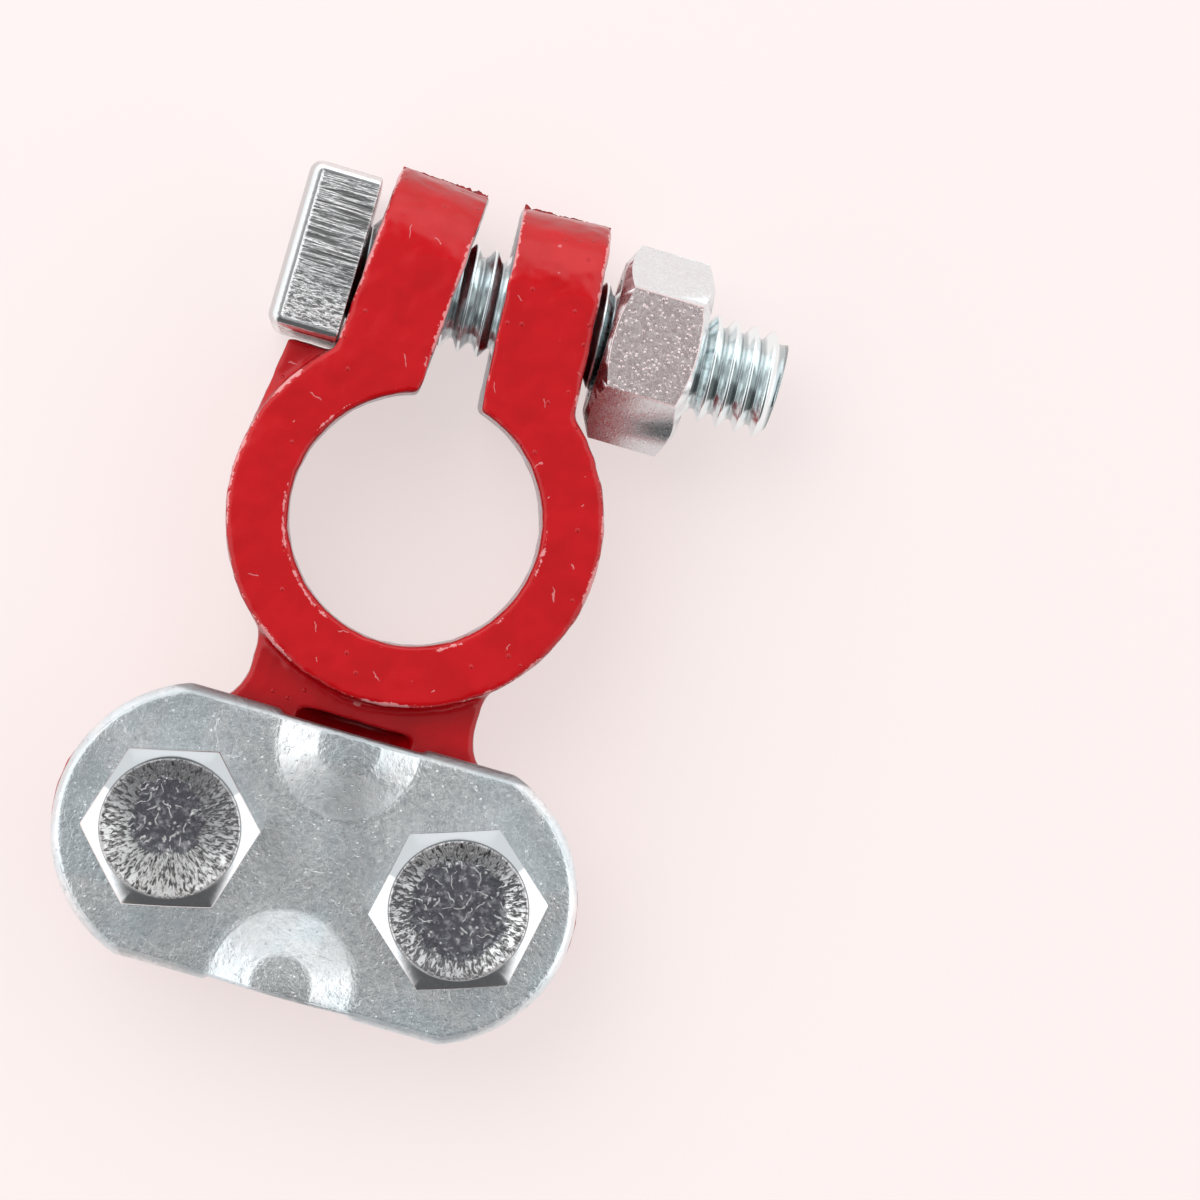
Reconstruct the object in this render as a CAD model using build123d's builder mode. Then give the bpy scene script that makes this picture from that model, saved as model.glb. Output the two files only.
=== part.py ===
from build123d import *
import os
from math import cos, radians, sin, sqrt, tan

os.makedirs("parts", exist_ok=True)

# ---------------------------------------------------------------- driving dimensions, millimetres
# Frame: the post's axis is Z, the underside of the ring is z = 0, +X runs from the clamp bolt's
# head to its nut, +Y runs from the cable pad to the ears.

# ring and post bore
post_r = 9.0  # radius of the round land that grips the post's neck
post_taper = 1 / 9  # a battery post grows this much in diameter for each unit down
land_h = 5.0  # height of the round land at the top of the bore
body_h = 13.0  # height of the ring and the ears
ring_wall = 4.8  # thickness of the ring at the parting line
parting_z = 5.8  # height of the two dies' parting line on the ring
draft = 1.5  # degrees of draft on the cast walls

# ears and clamp bolt
bolt_y = 16.7  # clamp bolt's axis, ahead of the post's axis
ear_ahead = 1.0  # the ears' full round is centred this far ahead of the bolt
ear_t = 6.87  # thickness of an ear
ear_lean = 3.9  # degrees that each ear leans towards the slot
slot_at_bolt = 3.35  # width of the slot at the clamp bolt
clamp_r = 7.94 / 2  # 5/16 inch bolt
clamp_len = 31.75  # 1 1/4 inch below the head
clamp_head_af, clamp_nut_af = 12.3, 12.7  # square head and hexagon nut, across flats
clamp_head_h = 5.2
clamp_nut_h = 6.7
nut_stand_off = 0.7  # the nut is backed off from the ear by half a turn

# anti-turn ledge beside the square head
ledge_gap = 0.35
ledge_low, ledge_high = 3.0, 9.6
ledge_half = 12.4  # its outer corner; the side runs back from there onto the ring

# neck and cable pad
pad_y = -25.8  # centre of the cable pad, behind the post's axis
pad_drop = 3.0  # the pad's top stands this far below the ring's top
pad_t = 5.2  # thickness of the neck and pad
neck_half = 8.5
neck_blend, ring_blend, web_blend = 3.6, 2.6, 1.5
ring_bury = 0.2  # the neck's slab starts this far inside the ring's wall
lobe_r = 8.9  # round lobe of the pad around each cable bolt
web_back = 6.9  # the pad's rear web stops this far behind the bolts' line
groove_w, groove_depth = 8.5, 3.2
groove_stop = 10.5  # the groove ends this far ahead of the bolts' line

# cable plate
plate_len, plate_w, plate_t = 38.5, 20.2, 1.8
plate_end_r = 10.7
screw_in = 8.65  # cable bolts stand this far inside the plate's ends
dimple_r, dimple_h = 5.4, 1.2  # arch pressed up in the middle of each long edge
dimple_crown_r, dimple_flank_h = 2.2, 1.05  # its straight flanks end here, under a low crown
dimple_in = 1.2  # its centre stands this far inside the edge
dimple_draw = 0.3  # the edge is drawn in this far beside it
dimple_root = 0.3  # its profile starts this far inside the sheet
plate_roll = 0.5  # rolled-over top edge of the blanked sheet

# cable bolts
screw_r = 6.35 / 2  # 1/4 inch bolt
screw_len = 11.1  # 7/16 inch below the head
screw_af = 11.11
screw_head_h = 4.1
dish_r, dish_depth = 4.75, 0.7
left_floor_r, right_floor_r = 2.7, 3.4  # flat floor of each dish, as struck
left_turn, right_turn = 13.2, 18.6  # degrees that the two heads stand turned

# turned chamfers on heads and nut
corner_slope = tan(radians(27))
head_flat_r, nut_flat_r = 5.03, 5.75
head_corner_r, head_roll = 0.9, 0.9  # forged corners and rolled outer edge of the square head

# clearances and soft edges
thread_clear = 0.05  # radial, bolt in its thread
hole_clear = 0.26  # radial, bolt through a drilled hole
seat_clear = 0.02  # between a head and its seat
cast_edge = 0.3  # broken edges of the painted casting
bore_edge = 0.25  # broken edge at the mouth of the bore
tip_chamfer = 0.7
thread_mouth = 0.45

# ---------------------------------------------------------------- derived dimensions
pad_top = body_h - pad_drop
pad_low = pad_top - pad_t
screw_x = plate_len / 2 - screw_in
bolt_z = body_h / 2
ring_r = post_r + ring_wall
ring_low_r = ring_r - (parting_z - cast_edge) * tan(radians(draft))
ring_top_r = ring_r - (body_h - cast_edge - parting_z) * tan(radians(draft))
lean = radians(ear_lean)
ear_r = body_h / 2
ears_far = bolt_y + ear_ahead + 2 * ear_r
base_r = post_r + (body_h - land_h) * post_taper / 2
head_side_y = bolt_y - clamp_head_af / 2
ear_reach = slot_at_bolt / 2 + ear_t / cos(lean) + tan(lean) * clamp_head_af / 2
ring_reach = sqrt(max(ring_r**2 - head_side_y**2, 0))  # the ring beside the head
head_seat_x = max(ear_reach, ring_reach) + seat_clear
nut_seat_x = head_seat_x + nut_stand_off
ledge_y = head_side_y - ledge_gap
plate_z = pad_top + seat_clear
screw_seat_z = plate_z + plate_t + seat_clear
groove_r = (groove_w**2 / 4 + groove_depth**2) / (2 * groove_depth)
dome = [
    (0, -dimple_root),
    (dimple_r, -dimple_root),
    (dimple_r, 0),
    (dimple_crown_r, dimple_flank_h),
    (0, dimple_h),
]
dimple_ys = [pad_y + side * (plate_w / 2 - dimple_in) for side in (-1, 1)]
screw_spots = [(-screw_x, pad_y), (screw_x, pad_y)]


def slot_half(y):
    return slot_at_bolt / 2 + (bolt_y - y) * tan(lean)


# ---------------------------------------------------------------- clamp body, one casting
# neck and cable pad
with BuildPart() as pad_slab:
    with BuildSketch(Plane.XY.offset(pad_low)):
        with Locations(*screw_spots):
            Circle(lobe_r)
        with Locations((0, pad_y - web_back)):
            Rectangle(2 * screw_x, web_back, align=(Align.CENTER, Align.MIN))
        with Locations((0, pad_y)):
            Rectangle(2 * neck_half, -pad_y, align=(Align.CENTER, Align.MIN))
        Circle(ring_r - ring_bury)
        for low, high, blend in (
            (-ring_r, 0, ring_blend),
            (pad_y, pad_y + lobe_r, neck_blend),
            (pad_y - lobe_r, pad_y, web_blend),
        ):
            corners = vertices().filter_by_position(Axis.Y, low, high)
            fillet(corners.filter_by_position(Axis.X, -neck_half - ring_bury, neck_half + ring_bury), blend)
    extrude(amount=pad_top - pad_low)
    chamfer(faces().filter_by(Axis.Z).edges(), cast_edge)

# pair of ears with full round ends, leaning in
with BuildPart() as ears:
    for side in (-1, 1):
        lean_in = (-side * sin(lean), cos(lean), 0)
        outward = (side * cos(lean), sin(lean), 0)
        with BuildSketch(Plane((side * slot_at_bolt / 2, bolt_y, bolt_z), x_dir=lean_in, z_dir=outward)):
            with Locations((ear_ahead, 0)):
                Circle(ear_r)
                Rectangle(bolt_y + ear_ahead, body_h, align=(Align.MAX, Align.CENTER))
        extrude(amount=ear_t)
        outer = faces(Select.LAST).sort_by(Axis.X)[0 if side < 0 else -1]
        chamfer(outer.edges(), cast_edge)

with BuildPart() as clamp_body:
    # ring, drafted both ways from the parting line
    with BuildSketch(Plane.XZ):
        with BuildLine():
            Polyline(
                (0, 0),
                (ring_low_r - cast_edge, 0),
                (ring_low_r, cast_edge),
                (ring_r, parting_z),
                (ring_top_r, body_h - cast_edge),
                (ring_top_r - cast_edge, body_h),
                (0, body_h),
                close=True,
            )
        make_face()
    revolve(axis=Axis.Z)
    add(pad_slab.part)
    add(ears.part)

    # ledge that keeps the square head from turning
    with BuildSketch(Plane.XY.offset(ledge_low)):
        with BuildLine():
            Polyline((0, 0), (-ring_r, 0), (-ledge_half, ledge_y), (0, ledge_y), close=True)
        make_face()
    extrude(amount=ledge_high - ledge_low)

    # bore: a round land above, then the post's own taper, both ends broken
    with BuildSketch(Plane.XZ):
        with BuildLine():
            Polyline(
                (0, 0),
                (base_r + cast_edge, 0),
                (base_r, cast_edge),
                (post_r, body_h - land_h),
                (post_r, body_h - bore_edge),
                (post_r + bore_edge, body_h),
                (0, body_h),
                close=True,
            )
        make_face()
    revolve(axis=Axis.Z, mode=Mode.SUBTRACT)

    # slot between the ears
    with BuildSketch(Plane.XY):
        with BuildLine():
            Polyline(
                (-slot_half(0), 0),
                (slot_half(0), 0),
                (slot_half(ears_far), ears_far),
                (-slot_half(ears_far), ears_far),
                close=True,
            )
        make_face()
    extrude(amount=body_h, mode=Mode.SUBTRACT)

    # clamp bolt's hole through both ears
    with BuildSketch(Plane.YZ):
        with Locations((bolt_y, bolt_z)):
            Circle(clamp_r + hole_clear)
    extrude(amount=2 * ear_r, both=True, mode=Mode.SUBTRACT)

    # cable groove, open at the back of the pad
    with BuildSketch(Plane.XZ.offset(-pad_y - groove_stop)):
        with Locations((0, pad_top + groove_r - groove_depth)):
            Circle(groove_r)
    extrude(amount=groove_stop + 2 * lobe_r, mode=Mode.SUBTRACT)

    # tapped holes for the cable bolts
    with BuildSketch(Plane.XY.offset(pad_low)):
        with Locations(*screw_spots):
            Circle(screw_r + thread_clear)
    extrude(amount=pad_top - pad_low, mode=Mode.SUBTRACT)
clamp_body.part.label = "clamp_body"
export_step(clamp_body.part, "parts/clamp_body.step")


# ---------------------------------------------------------------- cable plate, pressed sheet
with BuildPart() as cable_plate:
    with BuildSketch(Plane.XY.offset(plate_z)):
        with Locations((0, pad_y)):
            SlotOverall(plate_len, 2 * plate_end_r)
            Rectangle(plate_len, plate_w, mode=Mode.INTERSECT)
    extrude(amount=plate_t)
    chamfer(faces().sort_by(Axis.Z)[-1].edges(), plate_roll)

    # arches pressed up over the cable: the dome, then its hollow underneath
    for dimple_y in dimple_ys:
        for top_z, mode in ((plate_z + plate_t, Mode.ADD), (plate_z, Mode.SUBTRACT)):
            with BuildSketch(Plane((0, dimple_y, top_z), x_dir=(1, 0, 0), z_dir=(0, -1, 0))):
                with BuildLine():
                    Polyline(*dome, close=True)
                make_face()
            revolve(axis=Axis((0, dimple_y, 0), (0, 0, 1)), mode=mode)

    # the long edges, drawn in beside the arches
    with BuildSketch(Plane.XY.offset(plate_z)):
        for side in (-1, 1):
            with Locations((0, pad_y + side * (plate_w / 2 - dimple_draw + dimple_r))):
                Rectangle(2 * dimple_r, 2 * dimple_r)
    extrude(amount=plate_t + dimple_h, mode=Mode.SUBTRACT)

    # drilled holes for the cable bolts
    with BuildSketch(Plane.XY.offset(plate_z)):
        with Locations(*screw_spots):
            Circle(screw_r + hole_clear)
    extrude(amount=plate_t, mode=Mode.SUBTRACT)
cable_plate.part.label = "cable_plate"
export_step(cable_plate.part, "parts/cable_plate.step")


# ---------------------------------------------------------------- cable bolts, hexagon heads with a dished top
head_top_z = screw_seat_z + screw_head_h
for name, x, turn, floor_r in (
    ("cable_bolt_left", -screw_x, left_turn, left_floor_r),
    ("cable_bolt_right", screw_x, right_turn, right_floor_r),
):
    spin = Axis((x, pad_y, 0), (0, 0, 1))
    with BuildPart() as cable_bolt:
        with BuildSketch(Plane.XY.offset(screw_seat_z)):
            with Locations((x, pad_y)):
                RegularPolygon(screw_af / 2, 6, major_radius=False, rotation=turn)
        extrude(amount=screw_head_h)
        # chamfered corners and dished top
        with BuildSketch(Plane((x, pad_y, head_top_z), x_dir=(1, 0, 0), z_dir=(0, -1, 0))):
            with BuildLine():
                Polyline(
                    (head_flat_r, 0),
                    (screw_af, 0),
                    (screw_af, -(screw_af - head_flat_r) * corner_slope),
                    close=True,
                )
            make_face()
            with BuildLine():
                Polyline((0, 0), (dish_r, 0), (floor_r, -dish_depth), (0, -dish_depth), close=True)
            make_face()
        revolve(axis=spin, mode=Mode.SUBTRACT)
        # shank, plain at the thread's full diameter
        with BuildSketch(Plane.XY.offset(screw_seat_z)):
            with Locations((x, pad_y)):
                Circle(screw_r)
        extrude(amount=-screw_len)
        chamfer(faces().sort_by(Axis.Z)[0].edges(), tip_chamfer)
    cable_bolt.part.label = name
    export_step(cable_bolt.part, f"parts/{name}.step")


# ---------------------------------------------------------------- clamp bolt, square head
with BuildPart() as clamp_bolt:
    with BuildSketch(Plane.YZ.offset(-head_seat_x)):
        with Locations((bolt_y, bolt_z)):
            Rectangle(clamp_head_af, clamp_head_af)
    extrude(amount=-clamp_head_h)
    fillet(edges().filter_by(Axis.X), head_corner_r)
    chamfer(faces().sort_by(Axis.X)[0].edges(), head_roll)
    # shank, plain at the thread's full diameter
    with BuildSketch(Plane.YZ.offset(-head_seat_x)):
        with Locations((bolt_y, bolt_z)):
            Circle(clamp_r)
    extrude(amount=clamp_len)
    chamfer(faces().sort_by(Axis.X)[-1].edges(), tip_chamfer)
clamp_bolt.part.label = "clamp_bolt"
export_step(clamp_bolt.part, "parts/clamp_bolt.step")


# ---------------------------------------------------------------- clamp nut
with BuildPart() as clamp_nut:
    with BuildSketch(Plane.YZ.offset(nut_seat_x)):
        with Locations((bolt_y, bolt_z)):
            RegularPolygon(clamp_nut_af / 2, 6, major_radius=False)
            Circle(clamp_r + thread_clear, mode=Mode.SUBTRACT)
    extrude(amount=clamp_nut_h)
    # turned chamfers on both ends
    for end_x, inward in ((nut_seat_x, 1), (nut_seat_x + clamp_nut_h, -1)):
        with BuildSketch(Plane((end_x, bolt_y, bolt_z))):
            with BuildLine():
                Polyline(
                    (0, nut_flat_r),
                    (0, clamp_nut_af),
                    (inward * (clamp_nut_af - nut_flat_r) * corner_slope, clamp_nut_af),
                    close=True,
                )
            make_face()
        revolve(axis=Axis((0, bolt_y, bolt_z), (1, 0, 0)), mode=Mode.SUBTRACT)
    mouths = edges().filter_by(GeomType.CIRCLE).group_by(SortBy.RADIUS)[0]
    chamfer(mouths, thread_mouth)
clamp_nut.part.label = "clamp_nut"
export_step(clamp_nut.part, "parts/clamp_nut.step")
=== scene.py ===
# %% [markdown]
# # Dressing a battery terminal clamp
# The clamp grips a car battery's post. It is a painted casting with a slotted ring, a square-head
# bolt and nut that close the ring, and a zinc-plated strap that two bolts press onto the cable.
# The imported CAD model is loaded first, and every piece made here sits in its frame, in metres.
# The CAD pieces are never moved or changed: a finer piece stands in for each.

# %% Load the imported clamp
from math import ceil, cos, hypot, pi, radians, sin, tan

import bmesh
import bpy
from mathutils import Matrix, Vector, noise


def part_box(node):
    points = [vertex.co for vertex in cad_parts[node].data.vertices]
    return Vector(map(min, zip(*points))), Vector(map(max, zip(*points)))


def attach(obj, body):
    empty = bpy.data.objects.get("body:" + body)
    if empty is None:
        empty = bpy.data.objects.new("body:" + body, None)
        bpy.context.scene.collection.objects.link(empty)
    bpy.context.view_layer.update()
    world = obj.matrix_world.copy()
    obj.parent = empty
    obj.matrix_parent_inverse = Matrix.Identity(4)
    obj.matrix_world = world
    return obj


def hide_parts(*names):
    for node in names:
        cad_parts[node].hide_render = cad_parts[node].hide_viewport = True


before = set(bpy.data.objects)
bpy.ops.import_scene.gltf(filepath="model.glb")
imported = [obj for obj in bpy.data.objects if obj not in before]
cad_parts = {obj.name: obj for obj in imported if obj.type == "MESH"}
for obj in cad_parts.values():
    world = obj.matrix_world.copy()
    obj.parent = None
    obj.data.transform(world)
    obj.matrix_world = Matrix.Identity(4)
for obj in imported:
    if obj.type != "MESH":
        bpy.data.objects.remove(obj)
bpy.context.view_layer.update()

MM = 0.001
print("nodes:", sorted(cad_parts))

# %% [markdown]
# ## A bench for metal pieces
# Bolts and nuts could be built face by face. A lathe and a mill make the real ones, and the same
# two moves work here: a profile is spun about Z, and flats are cut off its sides. Work is in
# millimetres, because small numbers in metres upset the operators.

# %% Turning
TURN_STEPS = 96


def turn(profile):
    """Spins (radius, height) points about Z."""
    work = bmesh.new()
    corners = [work.verts.new((r, 0, z)) for r, z in profile]
    edges = [work.edges.new(pair) for pair in zip(corners, corners[1:])]
    bmesh.ops.spin(work, geom=corners + edges, cent=(0, 0, 0), axis=(0, 0, 1), angle=2 * pi,
                   steps=TURN_STEPS, use_merge=True)
    bmesh.ops.remove_doubles(work, verts=work.verts, dist=0.001)
    return work


# %% Milling
def cut_off(work, point, outward):
    """Cuts away what lies beyond a plane, and closes the cut."""
    cut = bmesh.ops.bisect_plane(work, geom=work.verts[:] + work.edges[:] + work.faces[:],
                                 plane_co=point, plane_no=outward, clear_outer=True)
    rim = [e for e in cut["geom_cut"] if isinstance(e, bmesh.types.BMEdge)]
    bmesh.ops.edgeloop_fill(work, edges=rim)


def mill_hexagon(work, across, turned):
    """Cuts six flats round a head; turned is the first flat's direction in degrees."""
    for number in range(6):
        angle = radians(turned + 60 * number)
        outward = Vector((cos(angle), sin(angle), 0))
        cut_off(work, outward * across / 2, outward)


# %% [markdown]
# ## Soft edges
# No real edge is a knife's: it catches a thin line of light. A bevel modifier could round every
# piece, but the operator keeps the work finished and lets each step choose its own edges.

# %% Rounding edges
SHARP = radians(24)


def round_edges(work, edges, width, segments):
    """Rolls the given edges over."""
    bmesh.ops.bevel(work, geom=edges, offset=width, offset_type="OFFSET", segments=segments,
                    profile=0.5, affect="EDGES", clamp_overlap=True, material=-1)


def soften(work, width, segments=2):
    """Rounds every edge where the surface turns sharply."""
    round_edges(work, [e for e in work.edges if e.calc_face_angle(0) > SHARP], width, segments)


# %% [markdown]
# ## Handing a piece over
# Finished work is scaled to metres and put where its CAD piece is. The piece then rides on the
# body that carries it, so it moves with that body's joint, and it hides the CAD piece.

# %% Handing over
def hand_over(work, name, body, node, finish, place=Matrix(), flats=True):
    """Makes the finished work a piece of the clamp that stands for its CAD node."""
    bmesh.ops.transform(work, matrix=Matrix.Scale(MM, 4) @ place, verts=work.verts)
    bmesh.ops.recalc_face_normals(work, faces=work.faces)
    mesh = bpy.data.meshes.new(name)
    work.to_mesh(mesh)
    work.free()
    mesh.materials.append(finish)
    mesh.shade_smooth()
    piece = bpy.data.objects.new(name, mesh)
    bpy.context.scene.collection.objects.link(piece)
    if flats:
        piece.modifiers.new("flat faces", "WEIGHTED_NORMAL").weight = 90
    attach(piece, body)
    if node:
        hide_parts(node)
    print(name, len(mesh.polygons), "faces")
    return piece


# %% [markdown]
# ## Screw threads
# A thread is one V-shaped ridge that climbs around the shank. Stacked rings would look alike from
# afar, but they don't climb, and a nut can't be seen to run along them. So the ridge's outline is
# spun with a small step up each time, and the end of each turn meets the start of the next.

# %% Cutting a thread
THREAD_STEPS = 56
THREAD_DEPTH = 0.56  # of the pitch
CREST_ROLL = 0.05
TIP_CHAMFER = 0.7


def cut_thread(outer, pitch, length):
    """A right-hand thread from z = 0 up to z = length, with a chamfered tip."""
    work = bmesh.new()
    root, shoulder = outer - THREAD_DEPTH * pitch, outer - CREST_ROLL
    outline = [(root, 0), (root, 0.18), (shoulder, 0.49), (outer, 0.54), (outer, 0.64),
               (shoulder, 0.69), (root, 1)]
    corners = [work.verts.new((r, 0, (share - 1) * pitch)) for r, share in outline]
    edges = [work.edges.new(pair) for pair in zip(corners, corners[1:])]
    turns = ceil(length / pitch) + 2
    bmesh.ops.spin(work, geom=corners + edges, cent=(0, 0, 0), axis=(0, 0, 1),
                   dvec=(0, 0, pitch / THREAD_STEPS), angle=2 * pi * turns,
                   steps=THREAD_STEPS * turns)
    bmesh.ops.remove_doubles(work, verts=work.verts, dist=0.002)
    cut_off(work, (0, 0, 0), (0, 0, -1))
    cut_off(work, (0, 0, length), (0, 0, 1))
    for corner in work.verts:
        widest = outer - TIP_CHAMFER + (length - corner.co.z)
        radius = hypot(corner.co.x, corner.co.y)
        if radius > widest:
            corner.co.xy *= widest / radius
    return work


# %% Joining head and shank
def join_work(work, other):
    """Puts a second piece of work into the first, as one piece of metal."""
    holder = bpy.data.meshes.new("holder")
    other.to_mesh(holder)
    other.free()
    work.from_mesh(holder)
    bpy.data.meshes.remove(holder)


# %% [markdown]
# ## Words for finishes
# A finish is a tree of nodes. Painted textures could give it, but they need unwrapping and blur up
# close, while nodes that read a place on the piece stay sharp at any distance. These short words
# keep the trees readable: `times`, `plus`, `ramp`, `blend`, `cloud`.

# %% Adding a node
def add(tree, kind, inputs=None, **settings):
    """Adds a node, sets its options and fills or joins its inputs."""
    node = tree.nodes.new(kind)
    for option, value in settings.items():
        setattr(node, option, value)
    for socket, source in (inputs or {}).items():
        if isinstance(source, bpy.types.NodeSocket):
            tree.links.new(source, node.inputs[socket])
        else:
            node.inputs[socket].default_value = source
    return node


# %% Sums
def sum_word(operation):
    """A word for one of the Math node's operations."""
    def word(tree, first, second=0.5):
        return add(tree, "ShaderNodeMath", {0: first, 1: second}, operation=operation).outputs[0]
    return word


times, plus = sum_word("MULTIPLY"), sum_word("ADD")
minus, over = sum_word("SUBTRACT"), sum_word("DIVIDE")
larger, smaller = sum_word("MAXIMUM"), sum_word("MINIMUM")
below, above = sum_word("LESS_THAN"), sum_word("GREATER_THAN")
size_of = sum_word("ABSOLUTE")


# %% Ramps, blends and clouds
def ramp(tree, value, low, high, to_low=0.0, to_high=1.0):
    """Maps low..high smoothly to 0..1, or to another range."""
    return add(tree, "ShaderNodeMapRange",
               {"Value": value, "From Min": low, "From Max": high, "To Min": to_low,
                "To Max": to_high}, interpolation_type="SMOOTHSTEP").outputs[0]


def blend(tree, share, first, second):
    """Mixes two colours."""
    return add(tree, "ShaderNodeMix", {0: share, 6: first, 7: second}, data_type="RGBA").outputs[2]


def cloud(tree, place, scale, detail=2.0, rough=0.5, twist=0.0):
    """Soft noise, about 0.5 on average."""
    return add(tree, "ShaderNodeTexNoise",
               {"Vector": place, "Scale": scale, "Detail": detail, "Roughness": rough,
                "Distortion": twist}).outputs["Fac"]


# %% Places and directions
def axes_of(tree, vector):
    """A vector's x, y and z."""
    return add(tree, "ShaderNodeSeparateXYZ", {0: vector}).outputs


def stretched(tree, place, scale):
    """A place with each axis scaled, to draw a pattern out along one of them."""
    return add(tree, "ShaderNodeMapping", {"Vector": place, "Scale": scale}).outputs[0]


def away(tree, first, second):
    """How far a point with these two coordinates is from the axis."""
    spoke = add(tree, "ShaderNodeCombineXYZ", {0: first, 1: second}).outputs[0]
    return add(tree, "ShaderNodeVectorMath", {0: spoke}, operation="LENGTH").outputs["Value"]


def facing(tree):
    """The way the surface faces, as x, y and z."""
    return axes_of(tree, add(tree, "ShaderNodeTexCoord").outputs["Normal"])


# %% [markdown]
# ## Shared effects
# Specks, nicks and crystals turn up in several finishes, so each is a node group that takes a place
# on the piece in millimetres and gives a mask or a tone. A Voronoi texture scatters them: it cuts
# space into cells, and one thing can be drawn in each.

# %% Making and using a group
SOCKETS = {"Place": "NodeSocketVector"}


def new_group(name, inputs, output):
    """An empty node group with named inputs, all values but Place, and one output."""
    tree = bpy.data.node_groups.new(name, "ShaderNodeTree")
    for socket in inputs:
        kind = SOCKETS.get(socket, "NodeSocketFloat")
        tree.interface.new_socket(socket, in_out="INPUT", socket_type=kind)
    tree.interface.new_socket(output, in_out="OUTPUT", socket_type="NodeSocketFloat")
    return tree, tree.nodes.new("NodeGroupInput").outputs, tree.nodes.new("NodeGroupOutput").inputs


def use(tree, group, **inputs):
    """Places a group in a material and gives its output."""
    return add(tree, "ShaderNodeGroup", inputs, node_tree=group).outputs[0]


# %% Specks: small round grains under the paint or in the plating
specks, given, out = new_group("specks", ["Place", "Scale", "Size", "Share"], "Mask")
cells = add(specks, "ShaderNodeTexVoronoi", {"Vector": given["Place"], "Scale": given["Scale"]})
pick = add(specks, "ShaderNodeSeparateColor", {0: cells.outputs["Color"]}).outputs[0]
dot = ramp(specks, over(specks, cells.outputs["Distance"], given["Size"]), 1.0, 0.35)
specks.links.new(times(specks, dot, below(specks, pick, given["Share"])), out["Mask"])
print("group", specks.name, len(specks.nodes), "nodes")

# %% Nicks: one short scratch in each chosen cell, each lying its own way
nicks, given, out = new_group("nicks", ["Place", "Scale", "Width", "Length", "Share"], "Mask")
sway = add(nicks, "ShaderNodeTexNoise", {"Vector": given["Place"], "Scale": 1.1}).outputs["Color"]
bent = add(nicks, "ShaderNodeVectorMath", {0: given["Place"], 1: sway}).outputs[0]
cells = add(nicks, "ShaderNodeTexVoronoi",
            {"Vector": bent, "Scale": given["Scale"], "Randomness": 0.7})
from_centre = add(nicks, "ShaderNodeVectorMath", {0: bent, 1: cells.outputs["Position"]},
                  operation="SUBTRACT").outputs[0]
lie, pick, stretch = add(nicks, "ShaderNodeSeparateColor", {0: cells.outputs["Color"]}).outputs
turned = add(nicks, "ShaderNodeVectorRotate", {0: from_centre, "Angle": times(nicks, lie, 2 * pi)},
             rotation_type="Z_AXIS").outputs[0]
along, off_line, _ = axes_of(nicks, turned)
along = over(nicks, size_of(nicks, along), times(nicks, given["Length"], stretch))
off_line = over(nicks, size_of(nicks, off_line), given["Width"])
mark = times(nicks, ramp(nicks, off_line, 1.0, 0.4), ramp(nicks, along, 1.0, 0.6))
nicks.links.new(times(nicks, mark, below(nicks, pick, given["Share"])), out["Mask"])
print("group", nicks.name, len(nicks.nodes), "nodes")

# %% Zinc crystals: small cells, each a little lighter or darker
crystals, given, out = new_group("zinc crystals", ["Place", "Scale"], "Tone")
sway = add(crystals, "ShaderNodeTexNoise", {"Vector": given["Place"], "Scale": 1.3})
bent = add(crystals, "ShaderNodeVectorMath",
           {0: given["Place"], 1: sway.outputs["Color"]}).outputs[0]
large = add(crystals, "ShaderNodeTexVoronoi", {"Vector": bent, "Scale": given["Scale"]})
small = add(crystals, "ShaderNodeTexVoronoi",
            {"Vector": bent, "Scale": times(crystals, given["Scale"], 2.3)})
first = add(crystals, "ShaderNodeSeparateColor", {0: large.outputs["Color"]}).outputs[0]
second = add(crystals, "ShaderNodeSeparateColor", {0: small.outputs["Color"]}).outputs[1]
tone = plus(crystals, times(crystals, first, 0.5), times(crystals, second, 0.5))
crystals.links.new(tone, out["Tone"])
print("group", crystals.name, len(crystals.nodes), "nodes")


# %% Starting and ending a finish
def new_finish(name, metal=0.0):
    """A material, its tree, its shader and the place on the piece in millimetres."""
    finish = bpy.data.materials.new(name)
    finish.use_nodes = True
    tree = finish.node_tree
    shader = tree.nodes["Principled BSDF"]
    shader.inputs["Metallic"].default_value = metal
    where = add(tree, "ShaderNodeTexCoord").outputs["Object"]
    return finish, tree, shader, stretched(tree, where, (1 / MM,) * 3)


def end_finish(finish, shader, colour, rough, relief):
    """Joins a colour, a roughness and a relief in millimetres to a finish's shader."""
    tree = finish.node_tree
    tree.links.new(colour, shader.inputs["Base Color"])
    tree.links.new(rough, shader.inputs["Roughness"])
    bump = add(tree, "ShaderNodeBump", {"Height": relief, "Distance": MM})
    tree.links.new(bump.outputs[0], shader.inputs["Normal"])
    print("finish", finish.name, len(tree.nodes), "nodes")


# %% [markdown]
# ## Red paint
# The casting is painted thickly. The paint is even on top and knocked pale along the edges, while
# the bore and the slot are reamed bare for contact. Steep walls, low surfaces and the neck beside
# the strap get painted shade, a darker red for the shade that falls there. Wear could be found from
# the mesh's own curvature, but a skin of small faces has bumps of its own that would be picked out
# too.
# So each worn edge is given by its place on the casting.

# %% Colour, dust and scratches
red_paint, tree, shader, place = new_finish("red paint")
across, lengthways, upwards = axes_of(tree, place)
faces_up = facing(tree)[2]
colour = blend(tree, ramp(tree, cloud(tree, place, 0.35, 3.0), 0.35, 0.65),
               (0.46, 0.001, 0.004, 1), (0.51, 0.002, 0.006, 1))
dust = use(tree, specks, Place=place, Scale=0.9, Size=0.16, Share=0.35)
scratch = use(tree, nicks, Place=place, Scale=0.45, Width=0.06, Length=0.55, Share=0.22)
scratch = times(tree, ramp(tree, faces_up, 0.7, 0.9), scratch)

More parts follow.
